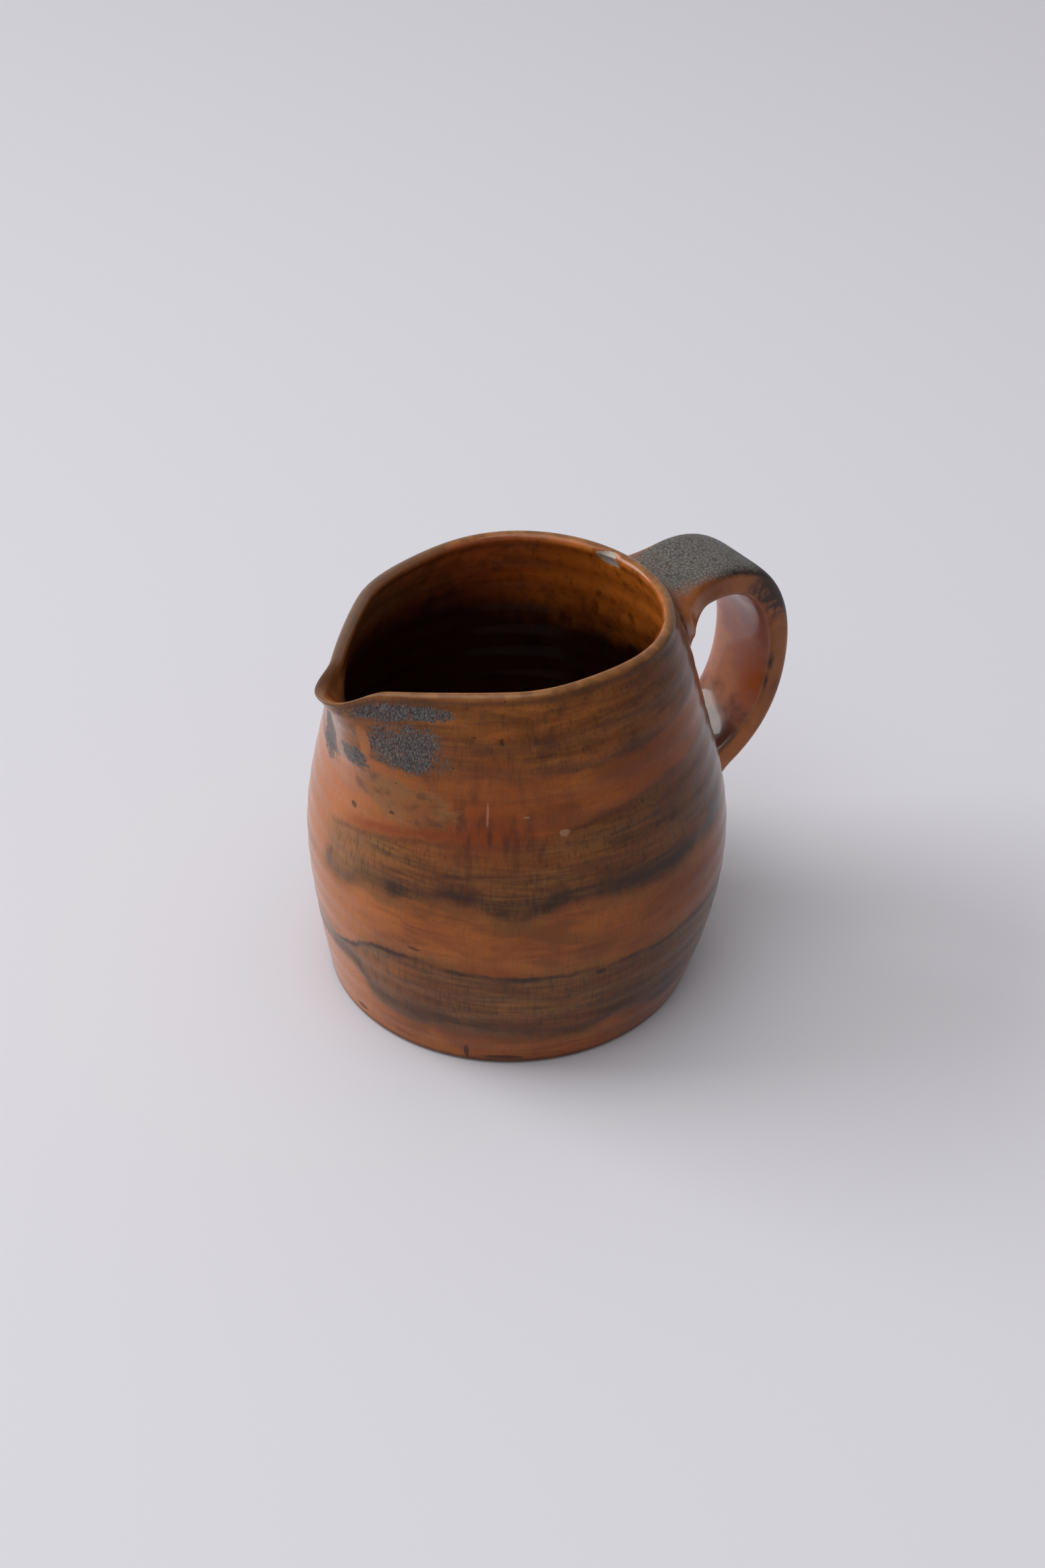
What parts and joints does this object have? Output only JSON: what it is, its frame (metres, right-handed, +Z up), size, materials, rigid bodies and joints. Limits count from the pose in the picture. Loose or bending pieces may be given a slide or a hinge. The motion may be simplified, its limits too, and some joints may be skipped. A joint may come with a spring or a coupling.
{
  "type": "ceramic pitcher",
  "caption": "Hand-thrown stoneware pitcher with a bellied body, a pulled beak spout and a wide strap handle, glazed in brown bands.",
  "frame": {"origin": "centre of the flat underside, on the surface that the pitcher stands on", "axes": "+Z up; +X from the foot's centre towards the handle; the spout points along -X"},
  "size_m": [0.1686, 0.1301, 0.1284],
  "materials": {
    "body_glaze": "glossy terracotta-brown glaze with wavy grey-brown bands",
    "handle_glaze": "glossy orange-brown glaze, satin blue-grey along the top of the strap"
  },
  "bodies": {
    "root": {"jug_body": "body_glaze", "handle_strap": "handle_glaze", "upper_handle_wad": "handle_glaze", "lower_handle_wad": "handle_glaze"}
  },
  "joints": []
}
